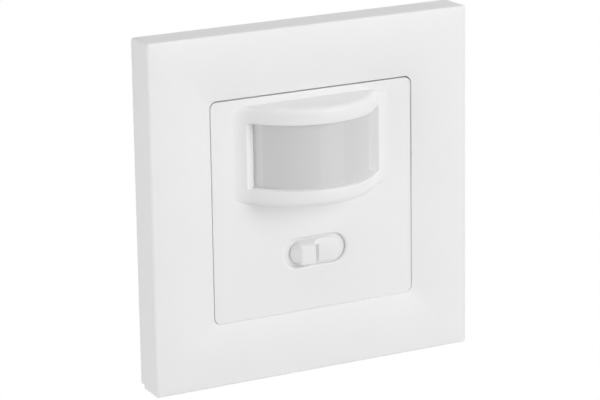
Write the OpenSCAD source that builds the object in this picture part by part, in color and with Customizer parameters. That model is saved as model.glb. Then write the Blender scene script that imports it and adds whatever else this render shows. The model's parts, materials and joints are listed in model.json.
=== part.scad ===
// Motion sensor light switch for a 60 mm flush wall box.
// Front faces -Y, the wall's surface is the plane y = 0, up is +Z.
// The origin is the middle of the box screw pattern, on the wall's surface.

/* [Cover frame] */
// Outer width and height of the frame
frame_w = 80; // [78:0.5:90]
// How far the frame stands off the wall
frame_d = 8; // [7.4:0.1:11]
// Thickness of the outer walls
frame_wall = 2; // [1.4:0.1:2.2]
// Thickness of the front face
frame_face = 2; // [1.4:0.1:2.6]
// Radius of the upright corners
frame_corner_r = 0.7; // [0.5:0.1:4]
// Bevel round the front edge
frame_bevel = 0.4; // [0.2:0.1:0.8]
// Thickness of the rim round the opening
rim_t = 1.3; // [1:0.1:2]
// Thickness of the ledge that the centre plate presses on
ledge_t = 1.6; // [1:0.1:1.8]
// How far the ledge reaches into the opening
ledge_reach = 2.4; // [1.8:0.1:2.6]
// Width of each notch in the rim for a box screw's head
notch_w = 10; // [8:0.5:14]
// Height of the pry recess along the lower rear edge
pry_h = 1.5; // [0.8:0.1:1.8]
// Depth of the pry recess
pry_d = 1.6; // [0.8:0.1:3]

/* [Centre plate] */
// Width and height of the plate
cover_w = 50.5; // [49.6:0.1:51.4]
// Gap between the plate and the frame
cover_gap = 0.2; // [0.15:0.05:0.6]
// How far the plate's front lies behind the frame's front
cover_setback = 0.35; // [0.2:0.05:1]
// Thickness of the plate
cover_t = 2; // [1.4:0.1:2.2]
// Thickness of the plate's skirt
skirt_t = 1.2; // [0.9:0.1:1.4]
// Radius of the plate's corners
cover_corner_r = 1.5; // [0.8:0.1:3]
// Length of each snap rib inside the skirt
snap_l = 8; // [5:0.5:14]
// Height of each snap rib along the depth
snap_h = 0.8; // [0.5:0.1:1]
// How far each snap rib bites into the carrier
snap_bite = 0.35; // [0.2:0.05:0.6]

/* [Hood and lens] */
// Radius of the hood's curved front
hood_r = 18.3; // [17.6:0.1:18.8]
// Depth of the hood's axis behind the wall's surface
hood_axis_y = 0.5; // [0:0.1:1]
// Height of the hood's middle above the plate's middle
hood_z = 12.2; // [11.6:0.1:12.4]
// Height of the hood
hood_h = 22.4; // [21:0.1:23]
// Radius of the blend between hood and plate at each side
hood_blend = 6.6; // [3:0.1:8]
// Thickness of the hood's curved wall
hood_wall = 1.6; // [1.3:0.1:2.4]
// Thickness of the hood's top and bottom
hood_cap = 1.6; // [1.2:0.1:2]
// Height of the window
window_h = 14.8; // [13:0.1:15.4]
// Angle that the window spans
window_angle = 123; // [110:1:125]
// Thickness of the lens
lens_t = 0.8; // [0.6:0.1:1.2]
// Angle by which the lens laps past the window at each side
lens_lap = 3; // [2:0.5:3.5]
// Thickness of the lens retainer
retainer_t = 1.3; // [0.8:0.1:1.8]

/* [Slide switch] */
// Place of the slot's middle across the plate
slot_x = 0.4; // [-1:0.05:2]
// Height of the slot's middle
slot_z = -12; // [-12.5:0.05:-11.6]
// Thickness that is left of the plate round the slot
slot_lip = 0.5; // [0.5:0.05:1.2]
// Length of the knob
knob_l = 12.4; // [10:0.1:13]
// Height of the knob
knob_h = 5.5; // [5:0.1:6.6]
// Travel of the knob to each side
knob_travel = 1.5; // [1:0.1:2.2]
// How far the grip stands out of the plate
grip_raise = 1.5; // [0.8:0.1:2.2]
// Inset of the grip's foot from the knob's edge
grip_inset = 0.15; // [0.1:0.05:0.6]
// How far the grip's left end slopes in towards its top
grip_run = 2; // [1:0.1:2.6]
// How far the grip's upper side slopes in towards its top
grip_fall = 0.9; // [0.2:0.1:1.4]
// How far the grip's right end slopes out above the groove
grip_out = 1.2; // [0.4:0.1:1.4]
// Place of the groove's middle beside the knob's middle
groove_x = 0; // [-0.6:0.05:0.1]
// Width of the groove beside the grip
groove_w = 2; // [1.6:0.1:2.2]
// How far the groove, open below, reaches above the knob's middle
groove_top = 1.4; // [0.5:0.1:2]
// Depth of the groove
groove_d = 0.6; // [0.2:0.1:1]
// How far the groove's right side slopes in towards its floor
groove_run = 0.5; // [0.2:0.1:0.8]
// Height by which the knob's flange laps the plate above and below
flange_lap = 1.2; // [0.8:0.1:1.6]
// Length by which the knob's flange still laps the plate at the end of its travel
flange_end = 0.6; // [0.4:0.1:1.2]
// Thickness of the knob's flange
flange_t = 0.8; // [0.6:0.05:0.8]
// Width of the switch nib
nib_w = 2; // [1.6:0.1:2.6]
// Height of the switch nib
nib_h = 3; // [2.4:0.1:3.4]
// Length of the switch case
switch_l = 12.6; // [12:0.1:13.4]
// Height of the switch case
switch_h = 6.6; // [6:0.1:7]
// Depth of the switch case
switch_d = 5; // [4.4:0.1:5.2]
// Sheet thickness of the switch case
switch_wall = 0.5; // [0.4:0.05:0.6]

/* [Sensor board] */
// Height of the infrared detector off the board
pir_h = 4.3; // [3.8:0.1:5]
// Radius of the detector's can
pir_r = 4.1; // [3.8:0.1:4.3]
// Thickness of both boards
board_t = 1.6; // [1.2:0.1:2]
// Width of a trimmer body
trimmer_w = 8; // [7:0.1:8.6]
// Depth of a trimmer body
trimmer_d = 3.2; // [2.6:0.1:3.6]
// Place of each trimmer to the side of the middle
trimmer_x = 11.5; // [11:0.1:12]
// Height of the trimmers
trimmer_z = -2; // [-3:0.1:-1]
// Radius of a dial's shaft
dial_shaft_r = 2; // [1.6:0.1:2.4]
// Radius of a dial's head
dial_r = 3.5; // [3:0.1:3.9]
// Thickness of a dial's head
dial_t = 1.8; // [1.4:0.1:2.2]
// Radius of the photocell
photocell_r = 2.5; // [2:0.1:2.8]

/* [Mounting ring and carrier] */
// Thickness of the steel ring
ring_t = 1.2; // [0.8:0.1:1.4]
// Gap between the ring's edge and the frame's walls
ring_gap = 2.5; // [1.5:0.1:3]
// Radius of the ring's corners
ring_corner_r = 8; // [4:0.5:12]
// Distance between opposite box screws
box_pitch = 60; // [59:0.5:61]
// Width of the box screw slots
slot_w = 4.2; // [3.6:0.1:5]
// Length of the box screw slots
slot_l = 7; // [6:0.1:8]
// Inner radius of the carrier
carrier_in_r = 19.6; // [19.2:0.1:20]
// Wall of the carrier's collar
carrier_wall = 1.6; // [1.2:0.1:1.8]
// Thickness of the carrier's flange
carrier_flange_t = 3.2; // [2.8:0.1:3.4]

/* [Rear housing] */
// Outer radius of the housing
housing_r = 25.5; // [25:0.1:26]
// Wall and floor of the housing
housing_wall = 1.8; // [1.4:0.1:2]
// Thickness of the housing's ears
ear_t = 2; // [1.6:0.1:3]
// Room between the two boards
board_room = 6.6; // [6:0.1:8]
// Height of the relay off the power board
relay_h = 9.6; // [8:0.1:10.4]
// Length of the relay
relay_l = 15.4; // [14:0.1:16]
// Distance between terminal poles
pole_pitch = 7; // [6.4:0.1:7.2]
// Radius of the wire entries
wire_r = 1.6; // [1.3:0.05:1.8]

/* [Clearances] */
// Room between the knob and its slot, above and below
knob_clear = 0.55; // [0.15:0.05:0.6]
// Room left at each end of the knob's travel
end_clear = 0.2; // [0.1:0.05:0.4]
// Room between the knob's flange and the plate
slide_clear = 0.15; // [0.15:0.05:0.4]
// Radial play of a shaft or screw in its bore
shaft_play = 0.05; // [0.03:0.01:0.1]
// Room round pieces that are pushed into place
fit_clear = 0.1; // [0.05:0.05:0.2]
// Room between neighbours that don't touch
part_clear = 0.3; // [0.2:0.05:0.4]

/* [Hidden] */
$fn = 64;

// A cut runs past the faces it opens by this much
past = 1;
corner_steps = 6;
end_steps = 16;
angle_step = 4;

// Depths, from the wall's surface to the front
ring_front = -ring_t;
ledge_front = ring_front - ledge_t;
frame_front = -frame_d;
cover_front = frame_front + cover_setback;
cover_back = cover_front + cover_t;

// Frame and plate
opening_w = cover_w + 2 * cover_gap;
opening_r = cover_corner_r + cover_gap;
rim_w = opening_w + 2 * rim_t;
ledge_w = opening_w - 2 * ledge_reach;
frame_inner_w = frame_w - 2 * frame_wall;
skirt_inner_w = cover_w - 2 * skirt_t;

// Hood, lens and retainer
lens_r = hood_r - hood_wall;
hood_reach = hood_axis_y - cover_front;
blend_x = sqrt(pow(hood_r + hood_blend, 2) - pow(hood_reach + hood_blend, 2));
blend_angle = atan2(blend_x, hood_reach + hood_blend);
lens_h = hood_h - 2 * hood_cap - 2 * fit_clear;
retainer_r = lens_r - lens_t - 2 * shaft_play;
retainer_lap = 1.5;
retainer_angle = window_angle + 2 * (lens_lap + retainer_lap);
retainer_rim = 1.6;
retainer_rim_angle = 2;

// Carrier and its snaps
carrier_w = ledge_w - 2 * part_clear;
carrier_out_r = carrier_in_r + carrier_wall;
carrier_front = ring_front - carrier_flange_t;
snap_back = ledge_front - part_clear;
snap_front = snap_back - snap_h;
snap_tip = carrier_w / 2 - snap_bite;

// Boards
board_front = hood_axis_y + pir_h;
board_back = board_front + board_t;
board_r = carrier_in_r - part_clear;
collar_past = 1.6;
collar_end = board_back + collar_past;
shelf_lap = 1.3;
shelf_r = board_r - shelf_lap;
shelf_t = 1.4;
board_screw_r = 1;
board_screw_head_r = 1.9;
board_screw_head_t = 1.3;
board_screw_l = 4;
driver_w = 0.6;
driver_d = 0.8;
boss_r = 2.2;
screw_room = 0.6;
boss_end = board_back + board_screw_l + screw_room;
boss_lap = 0.8;
sensor_boss_x = shelf_r - boss_r + boss_lap;
sensor_boss_z = 4.5;

// Detector
pir_base_t = 0.7;
pir_brim = 0.5;
pir_base_r = pir_r + pir_brim;
pir_shell = 0.3;
pir_window_w = 4.4;
pir_window_h = 3.4;
pir_lip = 0.3;
pir_window_t = 0.35;
pin_r = 0.25;
pin_hole_r = 0.45;
pin_circle_r = 2.54;
pin_past = 1;
pir_pin_angles = [45, 135, 270];

// Photocell and chip
photocell_x = 9.6;
photocell_z = 11;
photocell_t = 2;
photocell_stand = 1.2;
photocell_pitch = 3.4;
chip_w = 10;
chip_h = 4;
chip_t = 1.6;
chip_z = 2;
chip_leg_w = 0.5;
chip_leg_l = 1;
chip_leg_pitch = 1.27;
chip_legs = 8;

// Slide switch
slot_len = knob_l + 2 * (knob_travel + end_clear);
slot_h = knob_h + 2 * knob_clear;
pocket_front = cover_front + slot_lip;
flange_front = pocket_front + slide_clear;
flange_back = flange_front + flange_t;
flange_h = slot_h + 2 * flange_lap;
flange_l = slot_len + 2 * (knob_travel + flange_end);
pocket_l = flange_l + 2 * (knob_travel + part_clear);
pocket_h = flange_h + 2 * part_clear;
grip_foot_r = knob_h / 2 - grip_inset;
grip_x = (knob_h - knob_l) / 2;
grip_left = grip_x - grip_foot_r;
run_slope = grip_run / grip_raise;
fall_slope = grip_fall / grip_raise;
groove_left = groove_x - groove_w / 2;
groove_right = groove_x + groove_w / 2;
out_slope = grip_out / grip_raise;
switch_front = board_front - switch_d;
nib_out = 2.6;
nib_tip = switch_front - nib_out;
fork_gap = 0.6;
fork_tip = switch_front - fork_gap;
fork_t = 1.2;
fork_clear = 0.15;
slider_wing = 2;
slider_l = nib_w + 2 * slider_wing;
slider_t = 1.8;
slider_play = 0.15;
slider_front = switch_front + switch_wall + slider_play;
switch_base_t = 1;
switch_pin_r = 0.4;
switch_pin_hole_r = 0.6;
switch_pin_pitch = 2.5;
switch_pins = 4;
switch_inner_l = switch_l - 2 * switch_wall;
switch_inner_h = switch_h - 2 * switch_wall;

// Trimmers
trimmer_front = board_front - trimmer_d;
dial_back = trimmer_front - part_clear;
dial_front = dial_back - dial_t;
dial_slot_w = 0.9;
dial_slot_d = 0.9;
dial_slot_l = 1.6 * dial_r;
shaft_short = 0.4;
shaft_end = board_front - shaft_short;

// Rear housing, its boards and parts
power_front = board_back + board_room;
power_back = power_front + board_t;
housing_in_r = housing_r - housing_wall;
power_gap = 0.5;
power_r = housing_in_r - power_gap;
capacitor_h = 9.5;
capacitor_r = 4;
film_h = 9.4;
film_l = 13;
film_w = 6;
fuse_h = 7.8;
fuse_r = 4.2;
varistor_r = 4.2;
varistor_t = 3.6;
varistor_stand = 0.5;
rectifier_l = 8;
rectifier_w = 6.4;
rectifier_h = 3.2;
relay_w = 10.4;
case_corner_r = 0.6;
crimp_r = 0.4;
crimp_y = 1.6;
tallest = max(relay_h, capacitor_h, film_h, fuse_h, 2 * varistor_r + varistor_stand);
floor_gap = 0.4;
floor_front = power_back + tallest + floor_gap;
housing_back = floor_front + housing_wall;
post_r = 2.2;
post_in = 2.5;
post_x = housing_in_r - post_in;
part_out = post_x - post_r - part_clear;
relay_z = -0.8;
film_drop = 2;
film_z = relay_z - film_drop;
row_gap = 1.5;
capacitor_x = part_out - film_l + capacitor_r;
capacitor_z = film_z + film_w / 2 + row_gap + capacitor_r;
varistor_gap = 1;
varistor_x = capacitor_x + capacitor_r + varistor_gap;
fuse_edge = 3;
fuse_at = (housing_in_r - fuse_r - fuse_edge) / sqrt(2);
rectifier_z = post_x - post_r - part_clear - rectifier_w / 2;

// Ears and the screws that join carrier, ring and housing
ear_out = 3;
ear_r = housing_r + ear_out;
ear_screw_out = 0.5;
ear_at = (housing_r + ear_screw_out) / sqrt(2);
ear_w = 2 * (ear_at + ear_out);
ear_screw_r = 1.25;
ear_head_r = 2.2;
ear_head_t = 1.6;
ear_seat_t = 1.5;
ear_seat = ring_front - ear_seat_t;
ring_w = frame_inner_w - 2 * ring_gap;
ring_hole_r = carrier_out_r + part_clear;

// Terminals
poles = 3;
block_w = poles * pole_pitch;
block_h = 10.5;
block_edge = 0.6;
block_low = -sqrt(pow(housing_in_r - block_edge, 2) - pow(block_w / 2, 2));
block_short = 0.5;
block_back = housing_back - block_short;
pole_wall = 2.2;
clamp_w = pole_pitch - pole_wall;
clamp_h = 5;
clamp_l = 7.1;
clamp_rise = 6.3;
clamp_z = block_low + clamp_rise;
clamp_gap = 0.2;
clamp_front = power_back + clamp_gap;
clamp_screw_y = clamp_front + clamp_l / 2;
tail_r = 0.5;
tail_hole_r = 0.7;
tail_in = 0.5;
tail_z = clamp_z + clamp_h / 2 - tail_in;
terminal_screw_r = 1.4;
terminal_head_r = 1.95;
terminal_head_t = 1.8;
terminal_head_in = 0.3;
terminal_head_low = block_low + terminal_head_in;
terminal_access_r = 2.3;
terminal_bite = 0.6;

// Header between the boards
header_count = 4;
header_pitch = 2.54;
header_pin_r = 0.32;
header_hole_r = 0.5;
header_w = 2.4;
header_t = 2.5;
header_l = header_count * header_pitch;
header_z = header_w / 2 - sqrt(pow(shelf_r - part_clear, 2) - pow(header_l / 2, 2));

function arc(cx, cy, r, from, to, steps) =
    [for (i = [0:steps]) let (a = from + (to - from) * i / steps) [cx + r * cos(a), cy + r * sin(a)]];
function rounded(w, h, r) = concat(
    arc(w / 2 - r, h / 2 - r, r, 0, 90, corner_steps),
    arc(-w / 2 + r, h / 2 - r, r, 90, 180, corner_steps),
    arc(-w / 2 + r, -h / 2 + r, r, 180, 270, corner_steps),
    arc(w / 2 - r, -h / 2 + r, r, 270, 360, corner_steps));
function stadium(l, h) = concat(
    arc((l - h) / 2, 0, h / 2, -90, 90, end_steps), arc(-(l - h) / 2, 0, h / 2, 90, 270, end_steps));
// Plan of the hood: blend, curved front, blend, closed inside the plate
function hood_plan() = let (half = ceil(blend_angle / angle_step), steps = 2 * half) concat(
    [[-blend_x, cover_front + cover_t / 2]],
    arc(-blend_x, cover_front - hood_blend, hood_blend, 90, 90 - blend_angle, half),
    [for (i = [1:steps - 1]) let (a = -blend_angle + 2 * blend_angle * i / steps)
        [hood_r * sin(a), hood_axis_y - hood_r * cos(a)]],
    arc(blend_x, cover_front - hood_blend, hood_blend, 90 + blend_angle, 90, half),
    [[blend_x, cover_front + cover_t / 2]]);
// Plan of a sector about the hood's axis, opening to the front
function sector(r, angle) = [[0, hood_axis_y], [-r * sin(angle / 2), hood_axis_y - r * cos(angle / 2)],
    [-r * sin(angle / 4), hood_axis_y - r * cos(angle / 4)], [0, hood_axis_y - r],
    [r * sin(angle / 4), hood_axis_y - r * cos(angle / 4)],
    [r * sin(angle / 2), hood_axis_y - r * cos(angle / 2)]];
// Outline across the frame: square at the wall, bevelled at the front
function bevelled(w, d, b) = [[-w / 2, past], [w / 2, past], [w / 2, b - d], [w / 2 - b, -d],
    [b - w / 2, -d], [-w / 2, b - d]];

// Outline drawn in X and Z, extruded along the depth from y0 to y1
module slab(y0, y1) {
    translate([0, y1, 0]) rotate([90, 0, 0]) linear_extrude(y1 - y0) children();
}
// Plan drawn in X and Y, extruded upward from z0 to z1
module upright(z0, z1) {
    translate([0, 0, z0]) linear_extrude(z1 - z0) children();
}
// Round rod along the depth
module rod(r, y0, y1, x = 0, z = 0) {
    slab(y0, y1) translate([x, z]) circle(r);
}
// Box between two corners
module box(low, high) {
    translate(low) cube(high - low);
}
// Copies at the four sides, turned about the depth axis
module at_sides() {
    for (turn = [0:90:270]) rotate([0, turn, 0]) children();
}
// Copies at the four corners of a square
module at_corners(d) {
    for (x = [-d, d], z = [-d, d]) translate([x, 0, z]) children();
}
// Slotted hole for a box screw, its length along X
module screw_slot(y0, y1) {
    run = (slot_l - slot_w) / 2;
    for (x = [-run, run]) rod(slot_w / 2, y0, y1, x);
    slab(y0, y1) square([2 * run, slot_w], center = true);
}
// Round screw along the depth, head to the front
module screw(head_r, head_t, shaft_r, shaft_l) {
    difference() {
        union() {
            rod(head_r, -head_t, 0);
            rod(shaft_r, -head_t / 2, shaft_l);
        }
        box([-head_r - past, -head_t - past, -driver_w / 2],
            [head_r + past, driver_d - head_t, driver_w / 2]);
    }
}

module cover_frame() {
    color("whitesmoke") difference() {
        intersection() {
            slab(frame_front - past, 0) polygon(rounded(frame_w, frame_w, frame_corner_r));
            upright(-frame_w, frame_w) polygon(bevelled(frame_w, frame_d, frame_bevel));
            rotate([0, 90, 0]) upright(-frame_w, frame_w) polygon(bevelled(frame_w, frame_d, frame_bevel));
        }
        slab(frame_front + frame_face, past) difference() {
            square(frame_inner_w, center = true);
            square(rim_w, center = true);
        }
        slab(frame_front - past, ledge_front) polygon(rounded(opening_w, opening_w, opening_r));
        slab(frame_front - past, past) square(ledge_w, center = true);
        slab(ring_front, past) square(rim_w + past, center = true);
        at_sides() box([ledge_w / 2 - past, frame_front + frame_face, -notch_w / 2],
            [rim_w / 2 + past, past, notch_w / 2]);
        box([-frame_w, -pry_d, -frame_w / 2 - past], [frame_w, past, pry_h - frame_w / 2]);
    }
}

module sensor_cover() {
    color("whitesmoke") difference() {
        union() {
            difference() {
                slab(cover_front, ledge_front) polygon(rounded(cover_w, cover_w, cover_corner_r));
                slab(cover_back, ledge_front + past) square(skirt_inner_w, center = true);
            }
            upright(hood_z - hood_h / 2, hood_z + hood_h / 2) polygon(hood_plan());
            at_sides() box([snap_tip, snap_front, -snap_l / 2],
                [skirt_inner_w / 2 + skirt_t / 2, snap_back, snap_l / 2]);
        }
        translate([0, hood_axis_y, hood_z - hood_h / 2 + hood_cap])
            cylinder(r = lens_r, h = hood_h - 2 * hood_cap);
        upright(hood_z - window_h / 2, hood_z + window_h / 2) polygon(sector(2 * hood_r, window_angle));
        slab(cover_front - past, cover_back + past) translate([slot_x, slot_z])
            polygon(stadium(slot_len, slot_h));
        slab(pocket_front, cover_back + past) translate([slot_x, slot_z])
            square([pocket_l, pocket_h], center = true);
    }
}

// Curved sheet about the hood's axis
module curved_sheet(outer_r, t, angle, h) {
    upright(hood_z - h / 2, hood_z + h / 2) intersection() {
        translate([0, hood_axis_y]) difference() {
            circle(outer_r);
            circle(outer_r - t);
        }
        polygon(sector(2 * outer_r, angle));
    }
}

module fresnel_lens() {
    color("lightgrey") curved_sheet(lens_r - shaft_play, lens_t, window_angle + 2 * lens_lap, lens_h);
}

module lens_retainer() {
    color("gainsboro") difference() {
        curved_sheet(retainer_r, retainer_t, retainer_angle, lens_h);
        curved_sheet(retainer_r + past, retainer_t + 2 * past, window_angle - 2 * retainer_rim_angle,
            lens_h - 2 * retainer_rim);
    }
}

// Raised half of the knob: round at its left end, sloping in at its left, right and upper sides
module grip() {
    translate([0, cover_front, 0]) intersection() {
        slab(-grip_raise, 0) union() {
            translate([grip_x, 0]) circle(grip_foot_r);
            translate([grip_x, -grip_foot_r]) square([groove_right - grip_x, 2 * grip_foot_r]);
        }
        upright(-knob_h, knob_h) polygon([[grip_left - past * run_slope, past],
            [groove_left + grip_out + past * out_slope, past],
            [groove_left - past * out_slope, -grip_raise - past],
            [grip_left + grip_run + past * run_slope, -grip_raise - past]]);
        translate([-knob_l, 0, 0]) rotate([90, 0, 90]) linear_extrude(2 * knob_l)
            polygon([[past, -knob_h], [past, grip_foot_r + past * fall_slope],
                [-grip_raise - past, grip_foot_r - grip_fall - past * fall_slope],
                [-grip_raise - past, -knob_h]]);
    }
}

// Space of the groove: upright at the grip, sloping at its right side
module groove() {
    upright(-slot_h / 2, groove_top) polygon([[groove_left, cover_front - grip_raise - past],
        [groove_left, cover_front + groove_d], [groove_right - groove_run, cover_front + groove_d],
        [groove_right, cover_front], [groove_right, cover_front - grip_raise - past]]);
}

module slide_knob() {
    color("whitesmoke") translate([slot_x, 0, slot_z]) {
        difference() {
            union() {
                slab(cover_front, flange_back) polygon(stadium(knob_l, knob_h));
                slab(flange_front, flange_back) square([flange_l, flange_h], center = true);
                grip();
            }
            groove();
        }
        for (side = [-1, 1]) translate([side * (nib_w / 2 + fork_clear + fork_t / 2), 0, 0])
            slab(flange_back - flange_t / 2, fork_tip) square([fork_t, nib_h], center = true);
    }
}

module mounting_ring() {
    color("silver") difference() {
        slab(ring_front, 0) polygon(rounded(ring_w, ring_w, ring_corner_r));
        rod(ring_hole_r, ring_front - past, past);
        at_sides() translate([box_pitch / 2, 0, 0]) screw_slot(ring_front - past, past);
        at_corners(ear_at) rod(ear_screw_r + part_clear, ring_front - past, past);
    }
}

module sensor_carrier() {
    color("dimgray") {
        difference() {
            union() {
                slab(carrier_front, ring_front) square(carrier_w, center = true);
                rod(carrier_out_r, carrier_front, collar_end);
            }
            rod(carrier_in_r, carrier_front - past, collar_end + past);
            at_sides() box([snap_tip - fit_clear, snap_front - fit_clear, -snap_l / 2 - part_clear],
                [carrier_w, snap_back + fit_clear, snap_l / 2 + part_clear]);
            at_corners(ear_at) {
                rod(ear_head_r + part_clear, carrier_front - past, ear_seat);
                rod(ear_screw_r + part_clear, carrier_front - past, past);
            }
        }
        difference() {
            union() {
                rod(carrier_in_r + carrier_wall / 2, board_back, board_back + shelf_t);
                for (side = [-1, 1]) rod(boss_r, board_back, boss_end, side * sensor_boss_x, sensor_boss_z);
            }
            difference() {
                rod(shelf_r, board_back - past, board_back + shelf_t + past);
                for (side = [-1, 1])
                    rod(boss_r, board_back - past, boss_end + past, side * sensor_boss_x, sensor_boss_z);
            }
            for (side = [-1, 1])
                rod(board_screw_r + shaft_play, board_back - past, boss_end + past,
                    side * sensor_boss_x, sensor_boss_z);
        }
    }
}

// Places of the header's pins along the strip
function header_x(i) = (i - (header_count - 1) / 2) * header_pitch;
function switch_pin_x(i) = slot_x + (i - (switch_pins - 1) / 2) * switch_pin_pitch;
function pole_x(i) = (i - (poles - 1) / 2) * pole_pitch;

module sensor_board() {
    color("darkgreen") difference() {
        rod(board_r, board_front, board_back);
        for (side = [-1, 1])
            rod(board_screw_r + part_clear, board_front - past, board_back + past,
                side * sensor_boss_x, sensor_boss_z);
        for (a = pir_pin_angles)
            rod(pin_hole_r, board_front - past, board_back + past,
                pin_circle_r * cos(a), hood_z + pin_circle_r * sin(a));
        for (side = [-1, 1])
            rod(pin_hole_r, board_front - past, board_back + past,
                photocell_x + side * photocell_pitch / 2, photocell_z);
        for (i = [0:header_count - 1])
            rod(header_hole_r, board_front - past, board_back + past, header_x(i), header_z);
        for (i = [0:switch_pins - 1])
            rod(switch_pin_hole_r, board_front - past, board_back + past, switch_pin_x(i), slot_z);
    }
}

module pir_can() {
    color("silver") difference() {
        rod(pir_r, hood_axis_y, board_front - pir_base_t, 0, hood_z);
        rod(pir_r - pir_shell, hood_axis_y + pir_shell, board_front, 0, hood_z);
        slab(hood_axis_y - past, hood_axis_y + past) translate([0, hood_z])
            square([pir_window_w - 2 * pir_lip, pir_window_h - 2 * pir_lip], center = true);
    }
}

module pir_window() {
    color("darkslategray") slab(hood_axis_y + pir_shell, hood_axis_y + pir_shell + pir_window_t)
        translate([0, hood_z]) square([pir_window_w, pir_window_h], center = true);
}

module pir_base() {
    color("silver") {
        rod(pir_base_r, board_front - pir_base_t, board_front, 0, hood_z);
        for (a = pir_pin_angles)
            rod(pin_r, board_front - pir_base_t / 2, board_back + pin_past,
                pin_circle_r * cos(a), hood_z + pin_circle_r * sin(a));
    }
}

module photocell() {
    disc_back = board_front - photocell_stand;
    color("orange") {
        rod(photocell_r, disc_back - photocell_t, disc_back, photocell_x, photocell_z);
        for (side = [-1, 1])
            rod(pin_r, disc_back - photocell_t / 2, board_back + pin_past,
                photocell_x + side * photocell_pitch / 2, photocell_z);
    }
}

module control_chip() {
    color("black") {
        box([-chip_w / 2, board_back, chip_z - chip_h / 2],
            [chip_w / 2, board_back + chip_t, chip_z + chip_h / 2]);
        for (i = [0:chip_legs - 1])
            translate([(i - (chip_legs - 1) / 2) * chip_leg_pitch, 0, chip_z])
                box([-chip_leg_w / 2, board_back, -chip_h / 2 - chip_leg_l],
                    [chip_leg_w / 2, board_back + chip_t / 2, chip_h / 2 + chip_leg_l]);
    }
}

module switch_case() {
    color("silver") translate([slot_x, 0, slot_z]) difference() {
        slab(switch_front, board_front) square([switch_l, switch_h], center = true);
        slab(switch_front + switch_wall, board_front + past)
            square([switch_inner_l, switch_inner_h], center = true);
        slab(switch_front - past, switch_front + past)
            square([nib_w + 2 * (knob_travel + part_clear), nib_h + 2 * part_clear], center = true);
    }
}

module switch_base() {
    color("peru") {
        slab(board_front - switch_base_t, board_front) translate([slot_x, slot_z])
            square([switch_inner_l - 2 * fit_clear, switch_inner_h - 2 * fit_clear], center = true);
        for (i = [0:switch_pins - 1])
            rod(switch_pin_r, board_front - switch_base_t / 2, board_back + pin_past,
                switch_pin_x(i), slot_z);
    }
}

module switch_slider() {
    color("black") translate([slot_x, 0, slot_z]) {
        slab(slider_front, slider_front + slider_t)
            square([slider_l, switch_inner_h - 2 * part_clear], center = true);
        slab(nib_tip, slider_front + slider_t / 2) square([nib_w, nib_h], center = true);
    }
}

// Trimmer body and its dial, to one side of the middle
module trimmer(side) {
    difference() {
        slab(trimmer_front, board_front) translate([side * trimmer_x, trimmer_z])
            square(trimmer_w, center = true);
        rod(dial_shaft_r + shaft_play, trimmer_front - past, board_front + past, side * trimmer_x, trimmer_z);
    }
}
module dial(side) {
    translate([side * trimmer_x, 0, trimmer_z]) difference() {
        union() {
            rod(dial_r, dial_front, dial_back);
            rod(dial_shaft_r, dial_back - dial_t / 2, shaft_end);
        }
        box([-dial_slot_w / 2, dial_front - past, -dial_slot_l / 2],
            [dial_slot_w / 2, dial_front + dial_slot_d, dial_slot_l / 2]);
    }
}
module time_trimmer() {
    color("royalblue") trimmer(-1);
}
module time_dial() {
    color("gold") dial(-1);
}
module lux_trimmer() {
    color("royalblue") trimmer(1);
}
module lux_dial() {
    color("gold") dial(1);
}

module header_strip() {
    color("black") difference() {
        slab(board_back, board_back + header_t) translate([0, header_z])
            square([header_l, header_w], center = true);
        for (i = [0:header_count - 1])
            rod(header_pin_r + shaft_play, board_back - past, board_back + header_t + past,
                header_x(i), header_z);
    }
}

module header_pins() {
    color("gold") for (i = [0:header_count - 1])
        rod(header_pin_r, board_front, power_back - part_clear, header_x(i), header_z);
}

module power_board() {
    color("darkgreen") difference() {
        rod(power_r, power_front, power_back);
        for (side = [-1, 1])
            rod(board_screw_r + part_clear, power_front - past, power_back + past, side * post_x);
        for (i = [0:header_count - 1])
            rod(header_hole_r, power_front - past, power_back + past, header_x(i), header_z);
        for (i = [0:poles - 1])
            rod(tail_hole_r, power_front - past, power_back + past, pole_x(i), tail_z);
    }
}

module relay() {
    color("black") slab(power_back, power_back + relay_h)
        translate([relay_l / 2 - part_out, relay_z]) polygon(rounded(relay_l, relay_w, case_corner_r));
}

module film_capacitor() {
    color("goldenrod") slab(power_back, power_back + film_h)
        translate([part_out - film_l / 2, film_z]) polygon(rounded(film_l, film_w, case_corner_r));
}

module smoothing_capacitor() {
    color("midnightblue") difference() {
        rod(capacitor_r, power_back, power_back + capacitor_h, capacitor_x, capacitor_z);
        translate([capacitor_x, power_back + crimp_y, capacitor_z]) rotate([90, 0, 0])
            rotate_extrude() translate([capacitor_r + crimp_r / 4, 0]) circle(crimp_r);
    }
}

module varistor() {
    middle = power_back + varistor_stand + varistor_r;
    color("steelblue") {
        translate([varistor_x, middle, capacitor_z]) rotate([0, 90, 0])
            cylinder(r = varistor_r, h = varistor_t);
        for (side = [-1, 1])
            rod(pin_r, power_back, middle, varistor_x + varistor_t / 2, capacitor_z + side * varistor_r / 2);
    }
}

module fuse() {
    color("saddlebrown") rod(fuse_r, power_back, power_back + fuse_h, -fuse_at, fuse_at);
}

module bridge_rectifier() {
    color("black") slab(power_back, power_back + rectifier_h) translate([0, rectifier_z])
        square([rectifier_l, rectifier_w], center = true);
}

module terminal_block() {
    color("dimgray") difference() {
        box([-block_w / 2, power_back, block_low], [block_w / 2, block_back, block_low + block_h]);
        for (i = [0:poles - 1]) translate([pole_x(i), 0, 0]) {
            box([-clamp_w / 2 - fit_clear, power_back - past, clamp_z - clamp_h / 2 - fit_clear],
                [clamp_w / 2 + fit_clear, clamp_front + clamp_l + fit_clear,
                    clamp_z + clamp_h / 2 + fit_clear]);
            rod(wire_r, clamp_front, block_back + past, 0, clamp_z);
            translate([0, clamp_screw_y, block_low - past])
                cylinder(r = terminal_head_r + fit_clear, h = clamp_z - clamp_h / 2 - block_low + past);
        }
    }
}

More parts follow.
